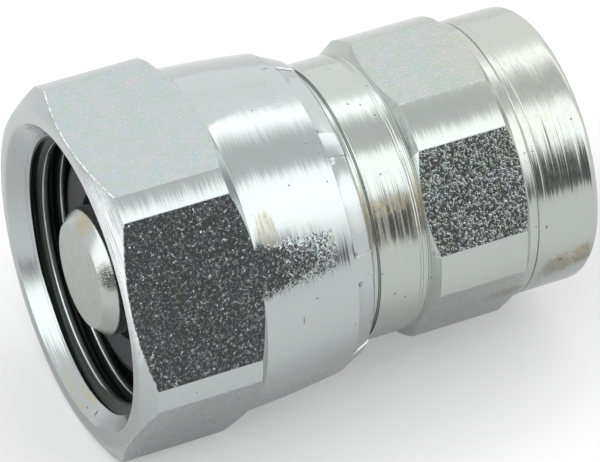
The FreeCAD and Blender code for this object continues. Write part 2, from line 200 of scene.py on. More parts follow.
class Nodes:
    """One node tree and the single method that adds nodes to it."""

    def __init__(self, tree):
        self.tree = tree
        tree.nodes.clear()

    def add(self, kind, settings=None, inputs=None):
        """Adds a node of a type, with its settings and with the values or links of its sockets."""
        node = self.tree.nodes.new(kind)
        for name, value in (settings or {}).items():
            if name == "stops":
                ramp = node.color_ramp.elements
                while len(ramp) < len(value):
                    ramp.new(0.5)
                for element, (position, colour) in zip(ramp, value):
                    element.position = position
                    element.color = (*colour, 1.0)
            else:
                setattr(node, name, value)
        for name, value in (inputs or {}).items():
            socket = node.inputs[name]
            if isinstance(value, Value):
                self.tree.links.new(value.socket, socket)
            elif socket.type == "RGBA":
                socket.default_value = (*value, 1.0)
            else:
                socket.default_value = value
        return Placed(self, node)

    def parts(self, vector):
        split = self.add("ShaderNodeSeparateXYZ", {}, {0: vector})
        return split.out(0), split.out(1), split.out(2)

    def vector(self, x, y, z):
        return self.add("ShaderNodeCombineXYZ", {}, {0: x, 1: y, 2: z}).out(0)

    def combine(self, operation, first, second):
        """Vector maths on two vectors."""
        return self.add("ShaderNodeVectorMath", {"operation": operation}, {0: first, 1: second}).out(0)

    def scaled(self, vector, scale):
        return self.add("ShaderNodeVectorMath", {"operation": "SCALE"}, {0: vector, "Scale": scale}).out(0)

    def noise(self, vector, scale, detail=2.0, roughness=0.5):
        return self.add("ShaderNodeTexNoise", {}, {
            "Vector": vector, "Scale": scale, "Detail": detail, "Roughness": roughness,
        }).out(0)

    def moved(self, place, scale, width):
        """A place that noise moves about within a width."""
        shift = self.add("ShaderNodeTexNoise", {}, {"Vector": place, "Scale": scale, "Detail": 1.0})
        wander = self.combine("SUBTRACT", shift.out("Color"), (0.5, 0.5, 0.5))
        return self.combine("ADD", place, self.scaled(wander, width))

    def object_place(self):
        """The place on the piece, in millimetres."""
        return self.scaled(self.add("ShaderNodeTexCoord").out("Object"), 1 / MM)

    def cells(self, vector, scale, output="Distance"):
        return self.add("ShaderNodeTexVoronoi", {}, {"Vector": vector, "Scale": scale}).out(output)

    def mix(self, factor, first, second):
        """Blend of two colours."""
        return self.add("ShaderNodeMix", {"data_type": "RGBA"}, {0: factor, 6: first, 7: second}).out(2)

    def blend(self, factor, first, second):
        """Blend of two numbers."""
        return self.add("ShaderNodeMix", {"data_type": "FLOAT"}, {0: factor, 2: first, 3: second}).out(0)

    def bump(self, height, distance, normal=None):
        inputs = {"Height": height, "Distance": distance, "Strength": 1.0}
        if normal is not None:
            inputs["Normal"] = normal
        return self.add("ShaderNodeBump", {}, inputs).out(0)

    def surface(self, inputs):
        shader = self.add("ShaderNodeBsdfPrincipled", {}, inputs)
        self.add("ShaderNodeOutputMaterial", {}, {"Surface": shader.out(0)})


def material(name):
    made = bpy.data.materials.new(name)
    made.use_nodes = True
    return made, Nodes(made.node_tree)


def toned(colour, *factors):
    """A colour with its channels multiplied by one factor, or by a factor each."""
    return [value * factors[index % len(factors)] for index, value in enumerate(colour)]


# Mesh helpers


def ease_corners(bm, verts, width, segments):
    """Rounds over corners of an outline."""
    bmesh.ops.bevel(
        bm, geom=verts, offset=width, offset_type="OFFSET", affect="VERTICES",
        segments=segments, profile=0.5, material=-1,
    )


def cut_off(bm, place, facing):
    """Cuts away what lies beyond a plane."""
    bmesh.ops.bisect_plane(
        bm, geom=bm.verts[:] + bm.edges[:] + bm.faces[:], dist=0.0005,
        plane_co=place, plane_no=facing, clear_outer=True,
    )


def profile(outline, first):
    """Closed wire of (place, radius) points, with the corners that have a third number eased."""
    bm = bmesh.new()
    across = Vector((0, math.cos(first), math.sin(first)))
    verts = [bm.verts.new(Vector((point[0], 0, 0)) + across * point[1]) for point in outline]
    bm.faces.new(verts)
    eased = [(vert, point[2]) for vert, point in zip(verts, outline) if len(point) > 2]
    for vert, width in eased:
        ease_corners(bm, [vert], width, 6 if width > 0.4 else 3)
    bmesh.ops.delete(bm, geom=bm.faces[:], context="FACES_ONLY")
    return bm


def turned(outline, steps=240, first=0.0):
    """Spins a closed outline of (place, radius) points about the part's axis."""
    bm = profile(outline, first)
    bmesh.ops.spin(
        bm, geom=bm.verts[:] + bm.edges[:], cent=(0, 0, 0), axis=(1, 0, 0),
        angle=2 * math.pi, steps=steps, use_merge=True,
    )
    bmesh.ops.remove_doubles(bm, verts=bm.verts, dist=0.0005)
    bmesh.ops.recalc_face_normals(bm, faces=bm.faces)
    return bm


def mill_flats(bm, distance, first):
    """Cuts six flats at a distance from the axis, the first one facing the given angle."""
    for index in range(6):
        angle = first + index * math.pi / 3
        facing = Vector((0, math.cos(angle), math.sin(angle)))
        cut_off(bm, facing * distance, facing)
        rim = [edge for edge in bm.edges if edge.is_boundary]
        bmesh.ops.edgeloop_fill(bm, edges=rim)


def ease_edges(bm, width, least_angle, where):
    """Rounds over the sharp edges that have both ends where the function says yes."""
    edges = [
        edge for edge in bm.edges
        if edge.calc_face_angle(0.0) > math.radians(least_angle)
        and all(where(vert.co) for vert in edge.verts)
    ]
    bmesh.ops.bevel(
        bm, geom=edges, offset=width, offset_type="OFFSET", affect="EDGES",
        segments=2, profile=0.5, material=-1, clamp_overlap=True,
    )


def finish_piece(name, bm, body, finish, nodes=()):
    """Makes the piece's object, which rides on a body and may stand for CAD nodes."""
    bmesh.ops.scale(bm, vec=(MM, MM, MM), verts=bm.verts)
    for face in bm.faces:
        face.smooth = True
    for edge in bm.edges:
        edge.smooth = edge.calc_face_angle(0.0) < math.radians(38)
    mesh = bpy.data.meshes.new(name)
    bm.to_mesh(mesh)
    bm.free()
    mesh.materials.append(finish)
    piece = bpy.data.objects.new(name, mesh)
    bpy.context.scene.collection.objects.link(piece)
    weighted = piece.modifiers.new("even shading", "WEIGHTED_NORMAL")
    weighted.keep_sharp = True
    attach(piece, body)
    if nodes:
        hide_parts(*nodes)
    return piece


def dress(node, finish):
    """Gives a CAD node that stays in view its finish."""
    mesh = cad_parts[node].data
    mesh.materials.clear()
    mesh.materials.append(finish)


def thread_ridge(front, turns, pitch, crest, root, crest_width, root_width, wall, ends, cone):
    """Helical ridge of an internal thread, in a countersunk mouth.

    Crest, root and wall are radii, and the wall is where the ridge's outer edge is sunk in the
    bore. The ridge is cut off at two ends and pushed out to a cone, given as its radius at a place.
    """
    bm = bmesh.new()
    flank = (pitch - crest_width - root_width) / 2
    rise = root_width / 2
    steps = range(6)
    up = [(rise + flank * step / 5, root + (crest - root) * step / 5) for step in steps]
    down = [(pitch - x, radius) for x, radius in reversed(up)]
    section = [(0.0, wall), (0.0, root), *up, *down, (pitch, root), (pitch, wall)]
    verts = [bm.verts.new((front + x, radius, 0)) for x, radius in section]
    bm.faces.new(verts)
    ease_corners(bm, [vert for vert in verts if abs(vert.co.y - crest) < 0.001], 0.11, 3)
    bmesh.ops.delete(bm, geom=bm.faces[:], context="FACES_ONLY")
    turn = 90
    bmesh.ops.spin(
        bm, geom=bm.verts[:] + bm.edges[:], cent=(0, 0, 0), axis=(1, 0, 0), dvec=(pitch / turn, 0, 0),
        angle=2 * math.pi * turns, steps=turn * turns, use_merge=False,
    )
    for place, facing in zip(ends, (-1, 1)):
        cut_off(bm, (place, 0, 0), (facing, 0, 0))
    for vert in bm.verts:
        radius, least = vert.co.yz.length, cone(vert.co.x)
        if radius < least:
            vert.co.yz *= least / radius
    bmesh.ops.recalc_face_normals(bm, faces=bm.faces)
    return bm


# Finishes


class Turned:
    """Places and tool marks on a part that was turned about the axis, in millimetres."""

    def __init__(self, nodes):
        self.nodes = nodes
        coordinates = nodes.add("ShaderNodeTexCoord")
        self.place = nodes.scaled(coordinates.out("Object"), 1 / MM)
        self.normal = coordinates.out("Normal")
        self.x, self.y, self.z = nodes.parts(self.place)
        self.radius = (self.y * self.y + self.z * self.z) ** 0.5

    def rings(self, along, around, detail=2.0, roughness=0.5):
        """Noise that is fine across the tool's path, on faces too, and drawn out round the axis."""
        nodes = self.nodes
        across = (self.x + self.radius * 2.3) * along
        return nodes.noise(nodes.vector(across, self.y * around, self.z * around), 1.0, detail, roughness)

    def swung(self, amount_around, amount_along):
        """The surface's normal, swung round the axis and across the tool's path by two numbers."""
        nodes = self.nodes
        out = nodes.vector(0.0, self.y / self.radius, self.z / self.radius)
        around = nodes.vector(0.0, -self.z / self.radius, self.y / self.radius)
        lean = nodes.parts(self.normal)[0]
        rise = nodes.add("ShaderNodeVectorMath", {"operation": "DOT_PRODUCT"}, {0: self.normal, 1: out})
        along = nodes.combine("SUBTRACT", nodes.vector(rise.out("Value"), 0.0, 0.0),
                              nodes.scaled(out, lean))
        shift = nodes.combine("ADD", nodes.scaled(around, amount_around), nodes.scaled(along, amount_along))
        return self.facing(nodes.combine("ADD", self.normal, shift))

    def facing(self, normal):
        """A normal of the piece as the shader takes it."""
        return self.nodes.add("ShaderNodeVectorTransform", {
            "vector_type": "NORMAL", "convert_from": "OBJECT", "convert_to": "WORLD",
        }, {0: normal}).out(0)

    def within(self, front, rear, fade=0.05):
        """1 between two places along the axis."""
        return self.x.between(front - fade, front) * (1.0 - self.x.between(rear, rear + fade))

    def spot(self, x, degrees, length, width, ragged=0.5, grain=2.0):
        """1 in the middle of a ragged spot, of a half length along the axis and a half width round it."""
        cosine, sine = math.cos(math.radians(degrees)), math.sin(math.radians(degrees))
        along = (self.x - x) / length
        across = (self.z * cosine - self.y * sine) / width
        near = (self.y * cosine + self.z * sine).between(1.0, 2.0)
        edge = (self.nodes.noise(self.place, grain, 4.0, 0.7) - 0.5) * ragged * 4.0
        return (1.0 - (along * along + across * across + edge).between(0.0, 1.5)) * near

    def flats(self, first, distance):
        """1 on the flats of a hexagon, which stand at a distance from the axis."""
        angle = self.z.maths("ARCTAN2", self.y) - first
        height = self.radius * angle.maths("WRAP", math.pi / 6, -math.pi / 6).maths("COSINE")
        return 1.0 - abs(height - distance).between(0.012, 0.03)

    def tinted(self, colour, amount):
        """A colour with the faint rose, green and blue patches of a passivated coat."""
        nodes = self.nodes
        warm = nodes.noise(self.place, 0.5, 3.0, 0.6).between(0.35, 0.65)
        cool = nodes.noise(nodes.combine("ADD", self.place, (40.0, 0.0, 0.0)), 0.7, 3.0, 0.6)
        more, less = 1.0 + amount, 1.0 - amount
        rose = toned(colour, more, 1.0, more)
        green = toned(colour, less, 1.0, less)
        blue = toned(colour, less, 1.0, more)
        return nodes.mix(cool.between(0.45, 0.7), nodes.mix(warm, green, rose), blue)

    def pits(self, scale, share):
        """1 in small scattered pits."""
        nodes = self.nodes
        place = nodes.moved(self.place, scale, 0.4)
        chosen = nodes.noise(self.place, scale * 0.37, 1.0, 0.5).between(0.62 - share, 0.66 - share)
        return (1.0 - nodes.cells(place, scale).between(0.06, 0.14)) * chosen


def raw_skin(nodes, part, crumbling):
    """Height of the pitted skin of drawn bar, in millimetres: scattered crumbs on low swells."""
    place = nodes.moved(part.place, 1.8, 0.4)
    least = 0.57 - crumbling * 0.06
    crumbs = nodes.noise(place, 3.0, 2.0, 0.5).between(least, least + 0.16)
    return crumbs * (0.003 + crumbling * 0.014) + nodes.noise(part.place, 1.1, 1.0, 0.5) * 0.012


def flaked(nodes, part, crumbling):
    """The surface's normal, tipped at random from flake to flake of the raw skin.

    Flats that face up are smoother than the others.
    """
    flakes = nodes.cells(nodes.moved(part.place, 3.0, 0.3), 6.0, "Color")
    tip = nodes.combine("SUBTRACT", flakes, (0.5, 0.5, 0.5))
    chosen = nodes.noise(part.place, 2.3, 2.0, 0.6).between(0.35, 0.72)
    smoother = 1.0 - nodes.parts(part.normal)[2].between(0.7, 0.95) * 0.6
    amount = (chosen * (0.32 - crumbling * 0.12) + 0.04) * smoother
    return nodes.combine("ADD", part.normal, nodes.scaled(tip, amount))


def zinc(name, finish, raw=None, oil_and_shade=None, coarse=None, scored=(), ring_swing=1.0, dulled=0.0,
         warmth=0.0, crumbling=1.0, marks=None):
    """Zinc-plated steel that was turned, with the bar's raw skin where it wasn't cut.

    raw, oil_and_shade and coarse take the part and give where its skin is raw, where it is dark
    with oil and painted shade, and where the turning is coarse. scored has the places of scored
    rings, and marks gives (mask, colour, strength) of stains, lines, worn places and painted highlights.
    """
    made, nodes = material(name)
    part = Turned(nodes)
    red, green, blue = finish.zinc
    colour = [red, green * (1.0 - warmth * 0.2), blue * (1.0 - warmth)]
    fine = part.rings(7.0, 0.16, 3.0, 0.65)
    hair = part.rings(13.0, 0.3, 2.0, 0.6)
    wavy = part.rings(0.5, 0.12, 1.0, 0.5)
    tilt = (fine - 0.5) * (0.34 * finish.tool_marks * ring_swing) + (hair - 0.5) * 0.10
    if coarse is not None:
        grooves = part.rings(5.6, 0.06, 2.0, 0.7)
        tilt = nodes.blend(coarse(part), tilt, tilt * 0.5 + (grooves - 0.5) * 0.6)
    for place in scored:
        tilt = tilt + (part.within(place - 0.1, place) - part.within(place, place + 0.1)) * 0.35
    normal = part.swung((wavy - 0.5) * 0.05 + (fine - 0.5) * 0.17, tilt)
    skin = part.tinted(colour, 0.012)
    roughness = hair * 0.10 + (finish.roughness - 0.05 + dulled)
    pitted = part.pits(0.9, 0.05)
    skin = nodes.mix(pitted * 0.7, skin, (0.12, 0.12, 0.11))
    height = pitted * -0.012
    if raw is not None:
        rough_skin = raw(part)
        dull = part.tinted(toned(colour, 0.93), 0.06)
        skin = nodes.mix(rough_skin, skin, dull)
        normal = nodes.mix(rough_skin, normal, part.facing(flaked(nodes, part, crumbling)))
        height = nodes.blend(rough_skin, height, raw_skin(nodes, part, crumbling) * finish.raw_depth)
        blurred = nodes.noise(part.place, 3.5, 2.0, 0.6).between(0.4, 0.7) * 0.2 + 0.1
        roughness = nodes.blend(rough_skin, roughness, blurred)
    if oil_and_shade is not None:
        # Inside the bores the colour drops nearly to black, with lighter lines: oil and painted shade.
        inside = oil_and_shade(part)
        oil = toned(colour, 0.085, 0.095, 0.085)
        lines = part.rings(5.0, 0.06, 2.0, 0.7).between(0.5, 0.66)
        skin = nodes.mix(inside, skin, nodes.mix(lines, oil, toned(oil, 2.4)))
        roughness = nodes.blend(inside, roughness, 0.36)
    for mask, stain, strength in (marks(part) if marks else ()):
        skin = nodes.mix(mask * strength, skin, stain)
        roughness = nodes.blend(mask * strength, roughness, 0.42)
    nodes.surface({
        "Base Color": skin, "Metallic": 1.0, "Roughness": roughness,
        "Normal": nodes.bump(height, MM, normal),
    })
    return made


STRAW = (0.52, 0.45, 0.28)
BROWN = (0.22, 0.19, 0.13)
SOOT = (0.05, 0.045, 0.04)


def nut_zinc(finish):
    def raw(part):
        flats = part.flats(math.pi / 2, NUT_FLAT) * part.within(NUT_FRONT, NUT_SHOULDER)
        folded = (part.z.maths("ARCTAN2", part.y) - math.pi / 2).maths("WRAP", math.pi / 6, -math.pi / 6)
        teeth = (part.rings(4.5, 0.5, 3.0, 0.6) - 0.5) * 7.0
        half_degrees = 8.4 - (part.x - NUT_SHOULDER) * 0.24 + teeth
        strip = 1.0 - (abs(folded) * (180 / math.pi) - half_degrees).between(-0.3, 0.3)
        end = STRIP_END - 0.6 + (part.rings(3.0, 1.5) - 0.5) * 3.0
        rubbed = 1.0 - part.spot(12.5, 90, 6.0, 5.0, 0.2) * 0.75
        return flats.maths("MAXIMUM", strip * part.within(NUT_SHOULDER, end, 0.4) * rubbed)

    def bore(part):
        # the nut's bore, where oil and painted shade darken the colour
        return (1.0 - part.radius.between(15.1, 15.4)) * part.within(MOUTH - 14.85, NUT_REAR, 0.01)

    def painted_edge_highlight(part):
        """1 on the rim of the flats, beside the turned chamfer at the mouth, where a ragged near-white
        highlight is painted.
        """
        slope = CHAMFER_LENGTH / (NUT_CORNER - CHAMFER_RADIUS)
        off_chamfer = part.x - NUT_FRONT - (part.radius - CHAMFER_RADIUS) * slope
        rim = 1.0 - off_chamfer.between(0.05, 0.16)
        ragged = part.nodes.noise(part.place, 1.6, 3.0, 0.7).between(0.42, 0.55)
        return part.flats(math.pi / 2, NUT_FLAT) * rim * ragged

    def painted_chamfer_highlight(part):
        """1 in lines on the mouth's chamfer, on its upper left as the photograph shows it."""
        # a white highlight painted in lines on one side of the chamfer
        place = part.spot(NUT_FRONT + 0.3, 135, 1.0, 9.0, 0.3)
        lines = part.rings(4.0, 0.25, 3.0).between(0.28, 0.54)
        return place * lines * (1.0 - part.flats(math.pi / 2, NUT_FLAT))

    def marks(part):
        return [
            (part.spot(10.8, 137.5, 1.1, 2.0, 0.6) * part.rings(7.0, 0.3, 3.0).between(0.25, 0.7),
             (0.37, 0.31, 0.18), 0.75),
            (part.spot(-4.2, -86.5, 0.35, 1.6, 0.9) * part.rings(5.0, 0.4, 3.0).between(0.3, 0.7),
             STRAW, 0.6),
            (part.spot(-3.6, -100, 0.35, 2.2, 0.9), STRAW, 0.45),
            (part.spot(-4.6, -98, 0.2, 1.5, 0.9), STRAW, 0.4),
            (part.spot(-4.07, -109.8, 0.24, 0.13, 0.1), SOOT, 0.95),
            (part.spot(-4.29, -102.7, 0.1, 0.12, 0.2), SOOT, 0.8),
            # near-white highlight painted along the flats' rims at the mouth
            (painted_edge_highlight(part), (0.95, 0.95, 0.93), 0.8),
            # white highlight painted in lines on the mouth's chamfer
            (painted_chamfer_highlight(part), (0.95, 1.0, 0.99), 0.9),
            (part.spot(13.2, 171, 0.08, 0.5, 0.5, 5.0), BROWN, 0.9),
            (part.spot(18.7, 76, 0.35, 0.12, 0.5, 5.0), SOOT, 0.7),
        ]

    return zinc("union nut zinc", finish, raw, bore, ring_swing=0.7, crumbling=0.25, marks=marks)


def body_zinc(finish):
    def raw(part):
        flats = part.flats(math.pi / 2 + BODY_TURN, BODY_FLAT)
        return flats * part.within(HEX_FRONT - 0.7, HEX_REAR + 0.7)

    def coarse(part):
        band = part.within(BODY_FRONT + 3.8, BODY_FRONT + 8.9)
        return part.within(HEX_REAR + 2.0, BODY_REAR).maths("MAXIMUM", band * 0.55)

    def bore(part):
        # everything inside the port, where oil and painted shade darken the colour
        return 1.0 - part.radius.between(11.0, 11.4)

    def marks(part):
        dirt = part.rings(4.0, 1.2, 4.0, 0.7).between(0.35, 0.65)
        return [
            (part.spot(25.2, 142.5, 3.4, 1.1, 0.4) * dirt, STRAW, 0.95),
            # pale lines on the band: painted highlight streaks over its dark side
            (part.spot(25.2, 151, 3.6, 2.4, 0.3) * part.rings(6.0, 0.1, 2.0).between(0.35, 0.6),
             (0.8, 0.76, 0.64), 0.7),
            (part.spot(22.5, 145, 0.3, 5.0, 0.5), STRAW, 0.6),
            (part.spot(28.6, 143, 0.35, 3.0, 0.5), STRAW, 0.5),
            (part.spot(44.2, 196, 2.2, 2.0, 0.9), BROWN, 0.65),
            (part.spot(47.0, 193, 1.3, 1.9, 0.9), BROWN, 0.7),
            (part.spot(38.6, 206, 2.4, 1.3, 0.9), BROWN, 0.5),
            (part.spot(43.5, 96, 6.5, 12.0, 0.9) * dirt, (0.5, 0.47, 0.37), 0.5),
            (part.spot(45.5, 190, 3.0, 1.2, 0.9) * dirt, STRAW, 0.4),
            (part.spot(38.0, 186, 4.0, 2.0, 0.9) * dirt, STRAW, 0.3),
            (part.spot(44.3, 192, 0.25, 0.25, 0.4), SOOT, 0.7),
            (part.spot(24.9, 181.5, 0.12, 0.15, 0.3), SOOT, 0.8),
            (part.spot(26.1, 185, 0.1, 0.12, 0.3), SOOT, 0.8),
            (part.spot(42.2, 171, 0.12, 0.2, 0.3), SOOT, 0.7),
        ]

    scored = (22.95, 23.25, 27.85, 28.15, BODY_REAR - 7.2, BODY_REAR - 6.3)
    return zinc("end body zinc", finish, raw, bore, coarse, scored, warmth=0.035, marks=marks)


def nut_thread_zinc(finish):
    def roots(part):
        """1 in the thread, apart from its crests and the cuts of the mouth's cone; there oil and painted
        shade darken the colour.
        """
        behind_mouth = (part.radius + part.x - MOUTH).between(0.06, 0.1)
        cut = (1.0 - behind_mouth) * part.radius.between(14.55, 14.6)
        crest = (1.0 - part.radius.between(13.94, 14.0)) * behind_mouth
        return 1.0 - cut.maths("MAXIMUM", crest)

    return zinc("nut thread zinc", finish, oil_and_shade=roots, ring_swing=2.2, dulled=0.12)


def port_thread_zinc(finish):
    def roots(part):
        # the thread's roots, where oil and painted shade darken the colour
        return part.radius.between(9.5, 9.7)

    return zinc("port thread zinc", finish, oil_and_shade=roots, ring_swing=0.5, dulled=0.1)


def nose_zinc(finish):
    """The nose is dull and dark with oil, and its colour is halved as painted shade where it stands in the
    mouth.
    """
    made, nodes = material("nose zinc")
    part = Turned(nodes)
    fine = part.rings(4.0, 0.2, 3.0, 0.6)
    oil_and_shade = nodes.noise(part.place, 0.8, 3.0, 0.6)
    # half the zinc's colour: painted shade inside the nut
    colour = toned(finish.zinc, 0.5)
    nodes.surface({
        "Base Color": nodes.mix(oil_and_shade.between(0.3, 0.7), colour, toned(colour, 0.6)),
        "Metallic": 1.0,
        "Roughness": oil_and_shade * 0.2 + 0.24,
        "Normal": part.swung(0.0, (fine - 0.5) * 0.2),
    })
    return made


def poppet_zinc(finish):
    """Satin plating on the pusher, with stains, a worn patch and a few dots on its front."""
    made, nodes = material("poppet zinc")
    part = Turned(nodes)
    front = 1.0 - part.x.between(POPPET_FRONT + 0.01, POPPET_FRONT + 0.05)
    grain = nodes.noise(part.place, 9.0, 3.0, 0.6)
    lines = part.rings(4.5, 0.2, 2.0, 0.6)
    warm = toned(finish.zinc, 0.96, 0.92, 0.88)
    skin = nodes.mix(nodes.noise(part.place, 0.6, 2.0, 0.6).between(0.3, 0.7), warm, finish.zinc[:])
    worn = part.spot(-2.6, 143, 0.75, 1.5, 0.5) * (1.0 - front)
    stain = part.spot(-2.6, 82, 1.0, 1.6, 0.6) * (1.0 - front)
    blotch = part.spot(-2.1, 50, 0.35, 0.5, 0.4)
    dots = part.pits(0.7, 0.16) * front
    skin = nodes.mix(stain * 0.7, skin, (0.48, 0.44, 0.31))
    skin = nodes.mix(worn * grain.between(0.36, 0.54), skin, SOOT)
    skin = nodes.mix(blotch * 0.8, skin, BROWN)
    skin = nodes.mix(dots * 0.6, skin, SOOT)
    roughness = nodes.blend(front, lines * 0.15 + 0.16, grain * 0.1 + 0.42)
    height = nodes.blend(worn, grain * 0.002, nodes.noise(part.place, 3.0, 2.0, 0.6) * 0.06)
    nodes.surface({
        "Base Color": skin, "Metallic": 1.0, "Roughness": roughness,
        "Normal": nodes.bump(height, MM, part.swung(0.0, (lines - 0.5) * 0.16 * (1.0 - front))),
    })
    return made


def ground_steel(name, colour, roughness):
    """Plain machined metal with fine rings, as on the inner rings and the guide."""
    made, nodes = material(name)
    part = Turned(nodes)
    lines = part.rings(7.0, 0.4, 3.0, 0.6)
    film = nodes.noise(part.place, 0.9, 3.0, 0.6)
    nodes.surface({
        "Base Color": nodes.mix(film.between(0.3, 0.7), colour, toned(colour, 0.8)),
        "Metallic": 1.0,
        "Roughness": film * 0.2 + (roughness - 0.1),
        "Normal": nodes.bump(lines * 0.004, MM),
    })
    return made


def spring_wire():
    """Drawn wire under a film of oil, with lengthwise scratches."""
    made, nodes = material("oiled spring wire")
    place = nodes.object_place()
    scratches = nodes.noise(nodes.combine("MULTIPLY", place, (6.0, 0.8, 0.8)), 1.0, 3.0, 0.6)
    film = nodes.noise(place, 0.7, 2.0, 0.5)
    nodes.surface({
        "Base Color": nodes.mix(film.between(0.3, 0.7), (0.30, 0.29, 0.27), (0.20, 0.18, 0.15)),
        "Metallic": 1.0,
        "Roughness": scratches * 0.25 + 0.22,
        "Normal": nodes.bump(scratches * 0.01, MM),
    })
    return made


def rubber(name, colour):
    """Moulded rubber, matt with a fine grain and a little dust."""
    made, nodes = material(name)
    place = nodes.object_place()
    grain = nodes.noise(place, 5.0, 3.0, 0.6)
    dust = nodes.noise(place, 1.3, 4.0, 0.65)
    nodes.surface({
        "Base Color": nodes.mix(dust.between(0.45, 0.75), colour, [value + 0.03 for value in colour]),
        "Roughness": grain * 0.2 + 0.5,
        "Normal": nodes.bump(grain * 0.015, MM),
    })
    return made


def white_ptfe():
    """Turned PTFE, waxy white with faint tool lines."""
    made, nodes = material("white ptfe")
    part = Turned(nodes)
    lines = part.rings(8.0, 0.3, 2.0, 0.5)
    nodes.surface({
        "Base Color": nodes.mix(lines, (0.84, 0.83, 0.79), (0.78, 0.77, 0.73)),
        "Roughness": lines * 0.15 + 0.4,
        "Normal": nodes.bump(lines * 0.006, MM),
    })
    return made


# Sizes and colours


class CouplingNutSizes(bpy.types.PropertyGroup):
    across_flats: FloatProperty(
        name="Across flats", description="Distance between two opposite flats of the union nut",
        default=2 * NUT_FLAT * MM, unit="LENGTH")
    corner_diameter: FloatProperty(
        name="Corner diameter", description="Diameter that the nut's corners are turned to",
        default=2 * NUT_CORNER * MM, unit="LENGTH")
    edge_rounding: FloatProperty(
        name="Edge rounding", description="Width of the rounding on the nut's edges",
        default=0.12 * MM, unit="LENGTH")


class CouplingFinish(bpy.types.PropertyGroup):
    zinc: FloatVectorProperty(
        name="Zinc", description="Colour of the zinc plating", subtype="COLOR",
        default=(0.463, 0.5, 0.492), min=0.0, max=1.0)
    roughness: FloatProperty(
        name="Roughness", description="Roughness of the turned surfaces", default=0.17, min=0.0, max=1.0)
    tool_marks: FloatProperty(
        name="Tool marks", description="How far tool marks swing the reflections", default=1.0,
        min=0.0, max=3.0)
    raw_depth: FloatProperty(
        name="Raw skin depth", description="How deep the bar's raw skin is pitted", default=1.0,
        min=0.0, max=3.0)


class CouplingStudio(bpy.types.PropertyGroup):
    floor: FloatVectorProperty(
        name="Floor", description="Colour of the floor", subtype="COLOR",
        default=(0.52, 0.52, 0.52), min=0.0, max=1.0)
    # The lesser glow near the part is painted shade.
    floor_glow: FloatProperty(
        name="Floor glow", default=0.27, min=0.0, max=1.0,
        description="Light that the floor adds to itself in view, more so away from the part")


# Operators


class COUPLING_OT_union_nut(bpy.types.Operator):
    """Makes the union nut with its flats, swaged barrel, crimped tail and bore"""

    bl_idname = "coupling.union_nut"
    bl_label = "Union Nut"

    def execute(self, context):
        sizes = context.scene.coupling_nut
        finish = context.scene.coupling_finish
        flat = sizes.across_flats / MM / 2
        corner = sizes.corner_diameter / MM / 2
        rows = 24
        step = (CRIMP_START - NUT_SHOULDER) / rows
        places = [NUT_SHOULDER + step * index for index in range(rows + 1)]
        lip, lip_bore, collar_bore, relief = NUT_REAR - 1.55, 14.98, 16.03, 15.25
        collar_room, thread_end = NUT_FRONT + 15.4, NUT_FRONT + 13.4
        outline = [
            (NUT_FRONT, MOUTH - NUT_FRONT, 0.15), (NUT_FRONT, CHAMFER_RADIUS, 0.2),
            (NUT_FRONT + CHAMFER_LENGTH, corner), (NUT_FRONT + 12.55, corner),
            *[(x, on_arc(BARREL_ARC, x)) for x in places],
            (CRIMP_START + 0.1, 17.16), (CRIMP_START + 1.0, 16.77), (NUT_REAR, 16.1, 0.62),
            (NUT_REAR, lip_bore), (lip, lip_bore), (lip, collar_bore), (collar_room, collar_bore),
            (collar_room, relief), (thread_end, relief), (thread_end, NUT_ROOT),
            (MOUTH - 14.83, NUT_ROOT), (MOUTH - 14.86, 14.86),
        ]
        bm = turned(outline, first=math.radians(JAW_FIRST))
        press_strips(bm, flat)
        press_jaws(bm)
        mill_flats(bm, flat, math.radians(90))
        ease_edges(bm, sizes.edge_rounding / MM, 18,
                   lambda p: p.x < NUT_SHOULDER + 0.1 and p.yz.length > 17.9)
        finish_piece("union_nut_dressed", bm, "nut", nut_zinc(finish), ["union_nut"])
        return {"FINISHED"}


def press_strips(bm, flat):
    """Leaves the bar's flats on the barrel as strips that bend in with it."""
    middle = (NUT_SHOULDER + STRIP_END) / 2
    bend = circle_through(
        (NUT_SHOULDER, flat), (middle, on_arc(BARREL_ARC, middle) - 0.04),
        (STRIP_END, on_arc(BARREL_ARC, STRIP_END)),
    )
    for vert in bm.verts:
        x, radius = vert.co.x, vert.co.yz.length
        if NUT_SHOULDER - 0.01 < x < STRIP_END and radius > 17:
            angle = math.atan2(vert.co.z, vert.co.y)
            folded = (angle % (math.pi / 3)) - math.pi / 6
            reach = on_arc(bend, x) / math.cos(folded)
            if reach < radius:
                vert.co.yz *= reach / radius


def press_jaws(bm):
    """Presses the crimping jaws' sectors into the tail, with a raised rib left between two jaws."""
    step = 0.25
    for index in range(int(360 / JAW_PITCH)):
        for edge in (0.0, JAW_SWEEP):
            for side in (-step, step):
                split_tail(bm, math.radians(JAW_FIRST + edge + index * JAW_PITCH + side))
    for vert in bm.verts:
        x, radius = vert.co.x, vert.co.yz.length
        turn = (math.degrees(math.atan2(vert.co.z, vert.co.y)) - JAW_FIRST) % JAW_PITCH
        pressed = step / 2 < turn < JAW_SWEEP - step / 2
        if x > CRIMP_START + 0.05 and radius > 15.5 and pressed:
            vert.co.yz *= (radius - JAW_DEPTH) / radius


def split_tail(bm, angle):
    """Adds a line of edges along the outside of the tail at an angle about the axis."""
    direction = Vector((0, math.cos(angle), math.sin(angle)))
    across = Vector((0, -direction.z, direction.y))
    faces = []
    for face in bm.faces:
        centre = face.calc_center_median()
        outside = centre.x > CRIMP_START - 0.2 and centre.dot(direction) > 15.5
        if outside and abs(centre.dot(across)) < 1.0:
            faces.append(face)
    edges = {edge for face in faces for edge in face.edges}
    verts = {vert for face in faces for vert in face.verts}
    bmesh.ops.bisect_plane(
        bm, geom=list(verts) + list(edges) + faces, dist=0.0005, plane_co=(0, 0, 0), plane_no=across,
    )


